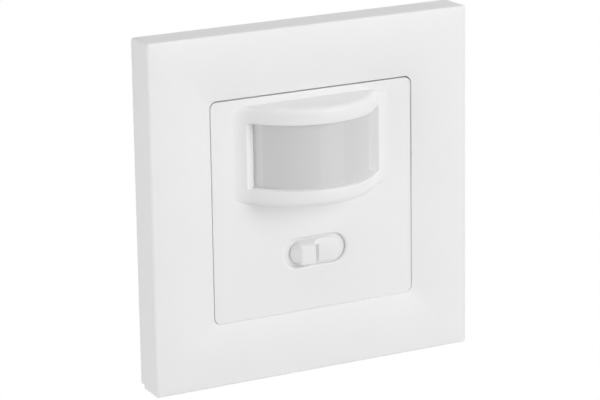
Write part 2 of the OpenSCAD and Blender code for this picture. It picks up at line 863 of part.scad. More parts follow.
module terminal_clamps() {
    color("gold") for (i = [0:poles - 1]) translate([pole_x(i), 0, 0]) {
        difference() {
            box([-clamp_w / 2, clamp_front, clamp_z - clamp_h / 2],
                [clamp_w / 2, clamp_front + clamp_l, clamp_z + clamp_h / 2]);
            rod(wire_r - fit_clear, clamp_front - past, clamp_front + clamp_l + past, 0, clamp_z);
            translate([0, clamp_screw_y, clamp_z - clamp_h / 2 - past])
                cylinder(r = terminal_screw_r + shaft_play, h = clamp_h / 2 + past);
        }
        rod(tail_r, power_front - pin_past, clamp_front + past, 0, tail_z);
    }
}

module terminal_screws() {
    shaft_top = clamp_z - wire_r + terminal_bite;
    color("silver") for (i = [0:poles - 1]) translate([pole_x(i), clamp_screw_y, 0]) difference() {
        union() {
            translate([0, 0, terminal_head_low]) cylinder(r = terminal_head_r, h = terminal_head_t);
            translate([0, 0, terminal_head_low + past])
                cylinder(r = terminal_screw_r, h = shaft_top - terminal_head_low - past);
        }
        box([-terminal_head_r - past, -driver_w / 2, terminal_head_low - past],
            [terminal_head_r + past, driver_w / 2, terminal_head_low + driver_d]);
    }
}

module rear_housing() {
    posts = [[-post_x, 0], [post_x, 0], [0, post_x]];
    color("dimgray") difference() {
        union() {
            difference() {
                union() {
                    rod(housing_r, 0, housing_back);
                    slab(0, ear_t) intersection() {
                        circle(ear_r);
                        square(ear_w, center = true);
                    }
                }
                rod(housing_in_r, -past, floor_front);
            }
            for (p = posts) rod(post_r, power_back, floor_front + housing_wall / 2, p[0], p[1]);
        }
        box([-block_w / 2 - part_clear, floor_front - past, block_low - part_clear],
            [block_w / 2 + part_clear, housing_back + past, block_low + block_h + part_clear]);
        for (i = [0:poles - 1]) translate([pole_x(i), clamp_screw_y, -housing_r - past])
            cylinder(r = terminal_access_r, h = housing_r + past + block_low);
        at_corners(ear_at) rod(ear_screw_r + shaft_play, -past, ear_t + past);
        for (side = [-1, 1])
            rod(board_screw_r + shaft_play, power_back - past, power_back + board_screw_l + screw_room,
                side * post_x);
    }
}

module housing_screws() {
    color("silver") at_corners(ear_at) translate([0, ear_seat, 0])
        screw(ear_head_r, ear_head_t, ear_screw_r, ear_t - ear_seat);
}

module board_screws() {
    color("silver") for (side = [-1, 1]) {
        translate([side * sensor_boss_x, board_front, sensor_boss_z])
            screw(board_screw_head_r, board_screw_head_t, board_screw_r, board_t + board_screw_l);
        translate([side * post_x, power_front, 0])
            screw(board_screw_head_r, board_screw_head_t, board_screw_r, board_t + board_screw_l);
    }
}

cover_frame();
sensor_cover();
fresnel_lens();
lens_retainer();
slide_knob();
mounting_ring();
sensor_carrier();
sensor_board();
pir_can();
pir_window();
pir_base();
photocell();
control_chip();
switch_case();
switch_base();
switch_slider();
time_trimmer();
time_dial();
lux_trimmer();
lux_dial();
header_strip();
header_pins();
power_board();
relay();
film_capacitor();
smoothing_capacitor();
varistor();
fuse();
bridge_rectifier();
terminal_block();
terminal_clamps();
terminal_screws();
rear_housing();
housing_screws();
board_screws();
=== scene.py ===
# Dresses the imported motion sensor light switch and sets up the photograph's view
import json
import math
import bmesh
import bpy
from mathutils import Matrix, Vector


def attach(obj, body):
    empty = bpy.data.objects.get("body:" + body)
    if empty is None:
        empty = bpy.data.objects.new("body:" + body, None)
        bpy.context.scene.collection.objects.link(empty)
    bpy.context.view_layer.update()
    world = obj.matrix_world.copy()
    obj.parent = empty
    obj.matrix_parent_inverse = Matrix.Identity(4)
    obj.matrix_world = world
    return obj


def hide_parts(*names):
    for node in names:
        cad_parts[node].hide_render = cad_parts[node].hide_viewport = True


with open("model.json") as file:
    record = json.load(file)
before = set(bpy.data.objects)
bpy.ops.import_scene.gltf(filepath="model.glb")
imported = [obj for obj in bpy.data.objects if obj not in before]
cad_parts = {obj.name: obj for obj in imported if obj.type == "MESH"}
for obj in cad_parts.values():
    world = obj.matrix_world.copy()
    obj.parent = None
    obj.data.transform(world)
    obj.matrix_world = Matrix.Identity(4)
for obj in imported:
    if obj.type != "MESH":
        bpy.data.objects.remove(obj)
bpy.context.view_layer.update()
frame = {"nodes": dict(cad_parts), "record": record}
MM = 0.001

# Sizes in millimetres, most of them the solids' own, with edge roundings and the plate's play added

# Outer frame
FRAME_HALF = 40.0
FRAME_FRONT = -8.0
FRAME_CORNER = 0.7
FRAME_EDGE = 0.6
# Share of an edge's inset that the corner radius loses with it
CORNER_DRAW = 0.6
WALL_INNER = 38.0
FACE_BACK = -6.0
OPENING_HALF = 25.45
OPENING_CORNER = 1.7
OPENING_EDGE = 0.1
RIM_HALF = 26.75
INNER_CORNER = 0.4
LEDGE_HALF = 23.05
LEDGE_CORNER = 0.2
LEDGE_FRONT = -2.8
RING_FRONT = -1.2
NOTCH_HALF = 5.0
PRY_H = 1.5
PRY_D = 1.6

# Centre plate
COVER_HALF = 25.25
COVER_SHIFT = (0.18, -0.18)
COVER_FRONT = -7.65
COVER_BACK = -5.65
COVER_CORNER = 1.5
COVER_EDGE = 0.06
SKIRT_INNER = 24.05
SKIRT_CORNER = 0.3

# Hood and its window
HOOD_R = 18.3
HOOD_AXIS_Y = 0.5
HOOD_LOW = 1.0
HOOD_HIGH = 23.4
HOOD_BLEND = 6.6
BLEND_SINK = 0.015
HOOD_TOP_EDGE = 1.3
HOOD_LOW_EDGE = 1.6
HOOD_ROOT = -5.85
WINDOW_LOW = 4.8
WINDOW_HIGH = 19.6
WINDOW_HALF_ANGLE = math.radians(61.5)
WINDOW_EDGE = 0.22
WINDOW_MARGIN = 0.3
RECESS_R = 16.2
CAVITY_R = 16.66
CAVITY_LOW = 2.6
CAVITY_HIGH = 21.8

# Lens
LENS_R = 16.65
LENS_T = 0.8
LENS_LOW = 2.7
LENS_HIGH = 21.7
LENS_HALF_ANGLE = math.radians(64.5)

# Slot and mode slide
SLOT_X = 0.4
SLOT_Z = -12.0
SLOT_L = 15.8
SLOT_H = 6.6
SLOT_EDGE = 0.5
KNOB_L = 12.4
KNOB_H = 5.5
KNOB_EDGE = 0.25
GRIP_RAISE = 1.5
GRIP_INSET = 0.15
GRIP_RUN = 2.0
GRIP_FALL = 0.9
GRIP_OUT = 1.2
GRIP_EDGE = 0.3
GRIP_SINK = 0.2
GROOVE_X = 0.0
GROOVE_W = 2.0
GROOVE_TOP = 1.4
GROOVE_D = 0.6
GROOVE_RUN = 0.5
POCKET_FRONT = -7.15
POCKET_L = 23.6
POCKET_H = 9.6
FLANGE_FRONT = -7.0
FLANGE_BACK = -6.2
FLANGE_L = 20.0
FLANGE_H = 9.0
FLANGE_SINK = 0.3
FORK_TIP = -0.8
FORK_T = 1.2
FORK_X = 1.75
NIB_H = 3.0

# How far cutting shapes reach past what they cut
CUT_SPARE = 1.0
CUT_REACH = 60.0
CUT_BEHIND = 5.0
WINDOW_REACH = 6.0

# Fineness of the meshes
EDGE_STEPS = 6
FINE_EDGE_STEPS = 4
OPENING_STEPS = 3
BEVEL_STEPS = 3
FLANK_STEPS = 8
JAMB_STEPS = 6
ARC_STEPS = 44
WINDOW_STEPS = 6
LENS_STEPS = 72
CAVITY_SIDES = 144
HALVINGS = 40
MERGE_GAP = 0.0001
SHARP_ANGLE = math.radians(32.0)
# Tolerance for telling the plate's flat front, both its place in metres and its normal
TINY = 0.00001

# Signs of X and Z in the four quarters of a square, in turn
QUARTERS = ((1, 1), (-1, 1), (-1, -1), (1, -1))


# Outlines in X and Z
def rounded_square(half, radius, shift=(0.0, 0.0), corner_steps=8, side_steps=6):
    points = []
    centre = half - radius
    for quarter, (cx, cz) in enumerate(QUARTERS):
        start = quarter * math.pi / 2
        for i in range(corner_steps + 1):
            a = start + i / corner_steps * math.pi / 2
            points.append((cx * centre + radius * math.cos(a), cz * centre + radius * math.sin(a)))
        nx, nz = QUARTERS[(quarter + 1) % len(QUARTERS)]
        first = points[-1]
        a = start + math.pi / 2
        last = (nx * centre + radius * math.cos(a), nz * centre + radius * math.sin(a))
        for i in range(1, side_steps):
            t = i / side_steps
            points.append((first[0] + (last[0] - first[0]) * t, first[1] + (last[1] - first[1]) * t))
    return [(x + shift[0], z + shift[1]) for x, z in points]


def stadium(length, height, cx, cz, steps=20):
    points = []
    r = height / 2
    for i in range(steps + 1):
        a = -math.pi / 2 + i / steps * math.pi
        points.append((cx + (length - height) / 2 + r * math.cos(a), cz + r * math.sin(a)))
    for i in range(steps + 1):
        a = math.pi / 2 + i / steps * math.pi
        points.append((cx - (length - height) / 2 + r * math.cos(a), cz + r * math.sin(a)))
    return points


# Inset and rise of the points round an edge, from its side to its face
def rounding(radius, steps):
    angles = [i / steps * math.pi / 2 for i in range(steps + 1)]
    return [(radius * (1 - math.cos(a)), radius * (1 - math.sin(a))) for a in angles]


# Mesh helpers
def ring(bm, outline, y):
    return [bm.verts.new((x, y, z)) for x, z in outline]


def bridge(bm, a, b, closed=True):
    n = len(a)
    for i in range(n if closed else n - 1):
        j = (i + 1) % n
        bm.faces.new((a[i], a[j], b[j], b[i]))


def bridge_all(bm, rings):
    for a, b in zip(rings, rings[1:]):
        bridge(bm, a, b)


# Bridges a stack of rings and closes both its ends
def close_stack(bm, rings):
    bridge_all(bm, rings)
    bm.faces.new(rings[-1])
    bm.faces.new(list(reversed(rings[0])))


def loop_edges(bm, verts):
    edges = []
    for i, v in enumerate(verts):
        w = verts[(i + 1) % len(verts)]
        edges.append(bm.edges.get((v, w)) or bm.edges.new((v, w)))
    return edges


def fill_between(bm, outer, inner):
    edges = loop_edges(bm, outer) + loop_edges(bm, inner)
    bmesh.ops.triangle_fill(bm, use_beauty=True, use_dissolve=False, edges=edges)


def add_box(bm, low, high):
    size = [b - a for a, b in zip(low, high)]
    middle = [(b + a) / 2 for a, b in zip(low, high)]
    bmesh.ops.create_cube(bm, size=1.0, matrix=Matrix.Translation(middle) @ Matrix.Diagonal((*size, 1.0)))


def shade(mesh):
    mesh.polygons.foreach_set("use_smooth", [True] * len(mesh.polygons))
    mesh.set_sharp_from_angle(angle=SHARP_ANGLE)


def finish_mesh(name, bm):
    bmesh.ops.recalc_face_normals(bm, faces=bm.faces[:])
    bmesh.ops.scale(bm, vec=(MM, MM, MM), verts=bm.verts[:])
    mesh = bpy.data.meshes.new(name)
    bm.to_mesh(mesh)
    bm.free()
    shade(mesh)
    obj = bpy.data.objects.new(name, mesh)
    bpy.context.scene.collection.objects.link(obj)
    return obj


# Joins a closed mesh to another, or cuts it with another, and drops the second
def combine(obj, other, operation):
    modifier = obj.modifiers.new("combine", "BOOLEAN")
    modifier.operation = operation
    modifier.solver = "EXACT"
    modifier.object = other
    depsgraph = bpy.context.evaluated_depsgraph_get()
    mesh = bpy.data.meshes.new_from_object(obj.evaluated_get(depsgraph))
    obj.modifiers.clear()
    obj.data = mesh
    shade(mesh)
    bpy.data.objects.remove(other)


# Cuts the pry recess along the frame's lower rear edge and the notches in its ledge
def frame_cutter():
    bm = bmesh.new()
    add_box(bm, (-CUT_REACH, -PRY_D, -CUT_REACH), (CUT_REACH, CUT_BEHIND, PRY_H - FRAME_HALF))
    inner = LEDGE_HALF - CUT_SPARE
    outer = RIM_HALF + CUT_SPARE
    for low, high in (((inner, -NOTCH_HALF), (outer, NOTCH_HALF)),
                      ((-outer, -NOTCH_HALF), (-inner, NOTCH_HALF)),
                      ((-NOTCH_HALF, inner), (NOTCH_HALF, outer)),
                      ((-NOTCH_HALF, -outer), (NOTCH_HALF, -inner))):
        add_box(bm, (low[0], FACE_BACK, low[1]), (high[0], CUT_SPARE, high[1]))
    return finish_mesh("frame_cutter", bm)


# Outer frame, swept round the square from a cross-section
def make_frame():
    bm = bmesh.new()
    section = [(FRAME_HALF, FRAME_CORNER, 0.0)]
    for inset, rise in rounding(FRAME_EDGE, EDGE_STEPS):
        section.append((FRAME_HALF - inset, FRAME_CORNER - inset * CORNER_DRAW, FRAME_FRONT + rise))
    for inset, rise in reversed(rounding(OPENING_EDGE, OPENING_STEPS)):
        section.append((OPENING_HALF + inset, OPENING_CORNER + inset, FRAME_FRONT + rise))
    section += [
        (OPENING_HALF, OPENING_CORNER, LEDGE_FRONT),
        (LEDGE_HALF, LEDGE_CORNER, LEDGE_FRONT),
        (LEDGE_HALF, LEDGE_CORNER, RING_FRONT),
        (RIM_HALF, INNER_CORNER, RING_FRONT),
        (RIM_HALF, INNER_CORNER, FACE_BACK),
        (WALL_INNER, INNER_CORNER, FACE_BACK),
        (WALL_INNER, INNER_CORNER, 0.0),
    ]
    rings = [ring(bm, rounded_square(half, radius), y) for half, radius, y in section]
    bridge_all(bm, rings + rings[:1])
    obj = finish_mesh("frame_shell", bm)
    combine(obj, frame_cutter(), "DIFFERENCE")
    return obj


# Plan of the hood as points with outward normals: blend, curved front, blend
def hood_plan():
    reach = HOOD_AXIS_Y - COVER_FRONT
    blend_x = math.sqrt((HOOD_R + HOOD_BLEND) ** 2 - (reach + HOOD_BLEND) ** 2)
    blend_angle = math.atan2(blend_x, reach + HOOD_BLEND)

    def on_blend(phi):
        x = -blend_x + HOOD_BLEND * math.sin(phi)
        y = COVER_FRONT + BLEND_SINK - HOOD_BLEND + HOOD_BLEND * math.cos(phi)
        return Vector((x, y)), Vector((-math.sin(phi), -math.cos(phi)))

    # Finds by halving where the window's side meets the blend
    low, high = 0.0, blend_angle
    for _ in range(HALVINGS):
        middle = (low + high) / 2
        p, _normal = on_blend(middle)
        if math.atan2(-p.x, HOOD_AXIS_Y - p.y) > WINDOW_HALF_ANGLE:
            low = middle
        else:
            high = middle
    jamb = (low + high) / 2
    left = [on_blend(jamb * i / FLANK_STEPS) for i in range(FLANK_STEPS + 1)]
    left += [on_blend(jamb + (blend_angle - jamb) * i / JAMB_STEPS) for i in range(1, JAMB_STEPS + 1)]
    front = []
    for i in range(1, ARC_STEPS):
        a = -blend_angle + 2 * blend_angle * i / ARC_STEPS
        front.append((Vector((HOOD_R * math.sin(a), HOOD_AXIS_Y - HOOD_R * math.cos(a))),
                      Vector((math.sin(a), -math.cos(a)))))
    right = [(Vector((-p.x, p.y)), Vector((-n.x, n.y))) for p, n in reversed(left)]
    return left + front + right


# Closed hood, sunk into the plate, with a recess for its window
def make_hood():
    bm = bmesh.new()
    plan = hood_plan()
    count = len(plan)
    rows = [(HOOD_LOW + rise, inset) for rise, inset in rounding(HOOD_LOW_EDGE, EDGE_STEPS)]
    window_low_row = len(rows)
    for i in range(WINDOW_STEPS + 1):
        rows.append((WINDOW_LOW + (WINDOW_HIGH - WINDOW_LOW) * i / WINDOW_STEPS, 0.0))
    window_high_row = len(rows) - 1
    rows += [(HOOD_HIGH - drop, inset) for drop, inset in reversed(rounding(HOOD_TOP_EDGE, EDGE_STEPS))]
    grid = []
    for z, inset in rows:
        grid.append([bm.verts.new((p.x - n.x * inset, p.y - n.y * inset, z)) for p, n in plan])
    jamb = FLANK_STEPS
    last = count - 1 - jamb
    floor = {}
    for j in range(window_low_row, window_high_row + 1):
        for k in range(jamb, last + 1):
            point = grid[j][k].co
            angle = math.atan2(point.x, HOOD_AXIS_Y - point.y)
            x = RECESS_R * math.sin(angle)
            y = HOOD_AXIS_Y - RECESS_R * math.cos(angle)
            floor[j, k] = bm.verts.new((x, y, point.z))
    for j in range(len(rows) - 1):
        for k in range(count - 1):
            corners = ((j, k), (j, k + 1), (j + 1, k + 1), (j + 1, k))
            if all(corner in floor for corner in corners):
                bm.faces.new([floor[corner] for corner in corners])
            else:
                bm.faces.new([grid[a][b] for a, b in corners])
    border = [(window_low_row, k) for k in range(jamb, last)]
    border += [(j, last) for j in range(window_low_row, window_high_row)]
    border += [(window_high_row, k) for k in range(last, jamb, -1)]
    border += [(j, jamb) for j in range(window_high_row, window_low_row, -1)]
    rim = [grid[j][k] for j, k in border]
    bridge(bm, rim, [floor[place] for place in border])
    backs = []
    for row in (grid[0], grid[-1]):
        back = [bm.verts.new((v.co.x, HOOD_ROOT, v.co.z)) for v in row]
        bridge(bm, row, back, closed=False)
        backs.append(back)
    bridge(bm, backs[0], backs[1], closed=False)
    for k in (0, count - 1):
        bm.faces.new([row[k] for row in grid] + [backs[1][k], backs[0][k]])
    bmesh.ops.recalc_face_normals(bm, faces=bm.faces[:])
    bmesh.ops.bevel(bm, geom=loop_edges(bm, rim), offset=WINDOW_EDGE, offset_type="OFFSET",
                    segments=BEVEL_STEPS, profile=0.5, affect="EDGES")
    return finish_mesh("hood", bm)


# Opening in the plate behind the hood, a sector from the hood's axis outward
def window_cutter():
    bm = bmesh.new()
    reach = LENS_R + WINDOW_REACH
    half_angle = WINDOW_HALF_ANGLE + WINDOW_MARGIN / LENS_R
    plan = [(0.0, HOOD_AXIS_Y)]
    for i in range(2 * WINDOW_STEPS + 1):
        a = half_angle * (i / WINDOW_STEPS - 1)
        plan.append((reach * math.sin(a), HOOD_AXIS_Y - reach * math.cos(a)))
    low = [bm.verts.new((x, y, WINDOW_LOW - WINDOW_MARGIN)) for x, y in plan]
    high = [bm.verts.new((x, y, WINDOW_HIGH + WINDOW_MARGIN)) for x, y in plan]
    bridge(bm, low, high)
    bm.faces.new(low)
    bm.faces.new(high)
    return finish_mesh("window_cutter", bm)


# Room behind the slot for the slide's flange
def pocket_cutter():
    bm = bmesh.new()
    add_box(bm, (SLOT_X - POCKET_L / 2, POCKET_FRONT, SLOT_Z - POCKET_H / 2),
            (SLOT_X + POCKET_L / 2, COVER_BACK + CUT_SPARE, SLOT_Z + POCKET_H / 2))
    return finish_mesh("pocket", bm)


# Round room behind the hood's wall for the lens
def cavity_cutter():
    bm = bmesh.new()
    place = Matrix.Translation((0.0, HOOD_AXIS_Y, (CAVITY_LOW + CAVITY_HIGH) / 2))
    bmesh.ops.create_cone(bm, cap_ends=True, segments=CAVITY_SIDES, radius1=CAVITY_R, radius2=CAVITY_R,
                          depth=CAVITY_HIGH - CAVITY_LOW, matrix=place)
    return finish_mesh("cavity", bm)


# Centre plate with its slot, skirt and hood
def make_cover():
    bm = bmesh.new()
    sides = [ring(bm, rounded_square(COVER_HALF, COVER_CORNER, COVER_SHIFT), LEDGE_FRONT)]
    for inset, rise in rounding(COVER_EDGE, FINE_EDGE_STEPS):
        outline = rounded_square(COVER_HALF - inset, COVER_CORNER - inset, COVER_SHIFT)
        sides.append(ring(bm, outline, COVER_FRONT + rise))
    bridge_all(bm, sides)
    slot_rings = []
    for grow, depth in reversed(rounding(SLOT_EDGE, FINE_EDGE_STEPS)):
        outline = stadium(SLOT_L + 2 * grow, SLOT_H + 2 * grow, SLOT_X, SLOT_Z)
        slot_rings.append(ring(bm, outline, COVER_FRONT + depth))
    slot_rings.append(ring(bm, stadium(SLOT_L, SLOT_H, SLOT_X, SLOT_Z), COVER_BACK))
    bridge_all(bm, slot_rings)
    fill_between(bm, sides[-1], slot_rings[0])
    skirt_top = ring(bm, rounded_square(SKIRT_INNER, SKIRT_CORNER), COVER_BACK)
    skirt_end = ring(bm, rounded_square(SKIRT_INNER, SKIRT_CORNER), LEDGE_FRONT)
    bridge(bm, skirt_top, skirt_end)
    bridge(bm, skirt_end, sides[0])
    fill_between(bm, skirt_top, slot_rings[-1])
    obj = finish_mesh("centre_plate", bm)
    combine(obj, window_cutter(), "DIFFERENCE")
    combine(obj, make_hood(), "UNION")
    combine(obj, pocket_cutter(), "DIFFERENCE")
    combine(obj, cavity_cutter(), "DIFFERENCE")
    for polygon in obj.data.polygons:
        level = abs(polygon.center.y - COVER_FRONT * MM) < TINY and polygon.normal.y < TINY - 1
        polygon.use_smooth = not level
    return obj


# Curved lens sheet
def make_lens():
    bm = bmesh.new()
    inner = LENS_R - LENS_T
    corners = ((LENS_R, LENS_LOW), (LENS_R, LENS_HIGH), (inner, LENS_HIGH), (inner, LENS_LOW))
    columns = []
    for i in range(LENS_STEPS + 1):
        a = -LENS_HALF_ANGLE + 2 * LENS_HALF_ANGLE * i / LENS_STEPS
        points = [(r * math.sin(a), HOOD_AXIS_Y - r * math.cos(a), z) for r, z in corners]
        columns.append([bm.verts.new(point) for point in points])
    bridge_all(bm, columns)
    bm.faces.new(columns[0])
    bm.faces.new(list(reversed(columns[-1])))
    return finish_mesh("lens_sheet", bm)


# How far a side of the grip has drawn in at a height, with its upper edge rounded
def drawn_in(height, run):
    slope = math.atan2(GRIP_RAISE, run)
    below = GRIP_RAISE - height
    if below > GRIP_EDGE * (1 - math.cos(slope)):
        return run * height / GRIP_RAISE
    a = math.acos(1 - below / GRIP_EDGE)
    return run + GRIP_EDGE * (math.tan(slope / 2) - math.sin(a))


# Outline of the grip at a height: round left end, cut by the left, right and upper slopes
def grip_outline(height, groove_left, steps=24):
    r = KNOB_H / 2 - GRIP_INSET
    side = r - drawn_in(height, 0.0)
    foot_left = SLOT_X - KNOB_L / 2 + GRIP_INSET
    centre_x = foot_left + r
    left = foot_left + drawn_in(height, GRIP_RUN)
    top = SLOT_Z + r - drawn_in(height, GRIP_FALL)
    right = groove_left + GRIP_OUT * (1 - height / GRIP_RAISE)
    points = [(right, min(top, SLOT_Z + side))]
    for i in range(steps + 1):
        a = math.pi / 2 + i / steps * math.pi
        points.append((max(left, centre_x + side * math.cos(a)), min(top, SLOT_Z + side * math.sin(a))))
    points.append((right, SLOT_Z - side))
    return points


# Raised left half of the slide
def make_grip(groove_left):
    bm = bmesh.new()
    rings = [ring(bm, grip_outline(0.0, groove_left), COVER_FRONT + GRIP_SINK)]
    heights = [0.0]
    for i in range(EDGE_STEPS, -1, -1):
        heights.append(GRIP_RAISE - GRIP_EDGE * (1 - math.cos(i * math.pi / (2 * EDGE_STEPS))))
    for height in heights:
        rings.append(ring(bm, grip_outline(height, groove_left), COVER_FRONT - height))
    close_stack(bm, rings)
    bmesh.ops.remove_doubles(bm, verts=bm.verts[:], dist=MERGE_GAP)
    return finish_mesh("grip", bm)


# Finger groove: upright on the left, sloping on the right, open below
def groove_cutter(groove_left):
    bm = bmesh.new()
    groove_right = groove_left + GROOVE_W
    low = SLOT_Z - SLOT_H / 2
    high = SLOT_Z + GROOVE_TOP
    rings = []
    for y, right in ((COVER_FRONT - GRIP_RAISE - CUT_SPARE, groove_right), (COVER_FRONT, groove_right),
                     (COVER_FRONT + GROOVE_D, groove_right - GROOVE_RUN)):
        rings.append(ring(bm, [(groove_left, low), (right, low), (right, high), (groove_left, high)], y))
    close_stack(bm, rings)
    return finish_mesh("groove", bm)


# Flange that covers the slot from behind
def make_flange():
    bm = bmesh.new()
    add_box(bm, (SLOT_X - FLANGE_L / 2, FLANGE_FRONT, SLOT_Z - FLANGE_H / 2),
            (SLOT_X + FLANGE_L / 2, FLANGE_BACK, SLOT_Z + FLANGE_H / 2))
    return finish_mesh("flange", bm)


# Fork that holds the switch's nib
def make_fork():
    bm = bmesh.new()
    for side in (-1, 1):
        x = SLOT_X + side * FORK_X
        add_box(bm, (x - FORK_T / 2, FLANGE_BACK - FLANGE_SINK, SLOT_Z - NIB_H / 2),
                (x + FORK_T / 2, FORK_TIP, SLOT_Z + NIB_H / 2))
    return finish_mesh("fork", bm)


# Mode slide with its raised grip and groove
def make_knob():
    bm = bmesh.new()
    body = [ring(bm, stadium(KNOB_L, KNOB_H, SLOT_X, SLOT_Z), FLANGE_FRONT + FLANGE_SINK)]
    for inset, rise in rounding(KNOB_EDGE, FINE_EDGE_STEPS):
        outline = stadium(KNOB_L - 2 * inset, KNOB_H - 2 * inset, SLOT_X, SLOT_Z)
        body.append(ring(bm, outline, COVER_FRONT + rise))
    close_stack(bm, body)
    obj = finish_mesh("slide_knob_shell", bm)
    groove_left = SLOT_X + GROOVE_X - GROOVE_W / 2
    combine(obj, make_flange(), "UNION")
    combine(obj, make_fork(), "UNION")
    combine(obj, make_grip(groove_left), "UNION")
    combine(obj, groove_cutter(groove_left), "DIFFERENCE")
    return obj


# Materials: noise scales per metre, bump depth in metres
BROAD_SCALE = 60.0
BRUSH_SCALE = 900.0
BOARD_SCALE = 1500.0
LENS_SCALE = 1800.0
NOISE_LOW = 0.3
NOISE_HIGH = 0.7
BUMP_DEPTH = 0.00002
PLASTIC_SWING = 0.04
METAL_SMOOTHER = 0.06
METAL_ROUGHER = 0.08
METAL_BUMP = 0.15
BOARD_ROUGHNESS = (0.3, 0.42)
LENS_ROUGHNESS = (0.38, 0.46)
TRACK_SCALE = 160.0
TRACK_WIDTH = 0.06
TRACK_TINT = 1.9
CELL_TINT = 1.15
# Degrees to each side of the front over which the lens's painted light and shade steps from segment to
# segment
RAMP_HALF = 90.0


def opaque(colour, tint=1.0):
    return (*[c * tint for c in colour], 1.0)


def new_material(name):
    material = bpy.data.materials.new(name)
    material.use_nodes = True
    nodes = material.node_tree.nodes
    return material, nodes, material.node_tree.links, nodes["Principled BSDF"]


def noise_node(nodes, links, scale, detail=3.0, stretch=None):
    coords = nodes.new("ShaderNodeTexCoord")
    noise = nodes.new("ShaderNodeTexNoise")
    noise.inputs["Scale"].default_value = scale
    noise.inputs["Detail"].default_value = detail
    if stretch:
        mapping = nodes.new("ShaderNodeMapping")
        mapping.inputs["Scale"].default_value = stretch
        links.new(coords.outputs["Object"], mapping.inputs["Vector"])
        links.new(mapping.outputs["Vector"], noise.inputs["Vector"])
    else:
        links.new(coords.outputs["Object"], noise.inputs["Vector"])
    return noise


def vary_colour(nodes, links, noise, target, colour, spread):
    ramp = nodes.new("ShaderNodeValToRGB")
    dark, light = ramp.color_ramp.elements
    dark.position = NOISE_LOW
    light.position = NOISE_HIGH
    dark.color = opaque(colour, 1 - spread)
    light.color = (*[min(1.0, c * (1 + spread)) for c in colour], 1.0)
    links.new(noise.outputs["Fac"], ramp.inputs["Fac"])
    links.new(ramp.outputs["Color"], target)


def vary_roughness(nodes, links, noise, target, low, high):
    spread = nodes.new("ShaderNodeMapRange")
    spread.inputs["From Min"].default_value = NOISE_LOW
    spread.inputs["From Max"].default_value = NOISE_HIGH
    spread.inputs["To Min"].default_value = low
    spread.inputs["To Max"].default_value = high
    links.new(noise.outputs["Fac"], spread.inputs["Value"])
    links.new(spread.outputs["Result"], target)


def bump(nodes, links, noise, target, strength):
    node = nodes.new("ShaderNodeBump")
    node.inputs["Strength"].default_value = strength
    node.inputs["Distance"].default_value = BUMP_DEPTH
    links.new(noise.outputs["Fac"], node.inputs["Height"])
    links.new(node.outputs["Normal"], target)


def plastic(name, colour, roughness, grain=2500.0, depth=0.1, spread=0.01):
    material, nodes, links, shader = new_material(name)
    broad = noise_node(nodes, links, BROAD_SCALE)
    fine = noise_node(nodes, links, grain, detail=2.0)
    vary_colour(nodes, links, broad, shader.inputs["Base Color"], colour, spread)
    vary_roughness(nodes, links, fine, shader.inputs["Roughness"], roughness - PLASTIC_SWING,
                   roughness + PLASTIC_SWING)
    bump(nodes, links, fine, shader.inputs["Normal"], depth)
    return material


def metal(name, colour, roughness, stretch=(1.0, 1.0, 1.0), spread=0.06):
    material, nodes, links, shader = new_material(name)
    lines = noise_node(nodes, links, BRUSH_SCALE, detail=4.0, stretch=stretch)
    vary_colour(nodes, links, lines, shader.inputs["Base Color"], colour, spread)
    vary_roughness(nodes, links, lines, shader.inputs["Roughness"], roughness - METAL_SMOOTHER,
                   roughness + METAL_ROUGHER)
    bump(nodes, links, lines, shader.inputs["Normal"], METAL_BUMP)
    shader.inputs["Metallic"].default_value = 1.0
    return material


# Lacquered board with a pattern of tracks
def board(name, colour):
    material, nodes, links, shader = new_material(name)
    coords = nodes.new("ShaderNodeTexCoord")
    mapping = nodes.new("ShaderNodeMapping")
    mapping.inputs["Rotation"].default_value = (math.pi / 2, 0.0, 0.0)
    tracks = nodes.new("ShaderNodeTexBrick")
    tracks.inputs["Scale"].default_value = TRACK_SCALE
    tracks.inputs["Mortar Size"].default_value = TRACK_WIDTH
    tracks.inputs["Color1"].default_value = opaque(colour)
    tracks.inputs["Color2"].default_value = opaque(colour, CELL_TINT)
    tracks.inputs["Mortar"].default_value = opaque(colour, TRACK_TINT)
    links.new(coords.outputs["Object"], mapping.inputs["Vector"])
    links.new(mapping.outputs["Vector"], tracks.inputs["Vector"])
    links.new(tracks.outputs["Color"], shader.inputs["Base Color"])
    fine = noise_node(nodes, links, BOARD_SCALE)
    vary_roughness(nodes, links, fine, shader.inputs["Roughness"], *BOARD_ROUGHNESS)
    return material
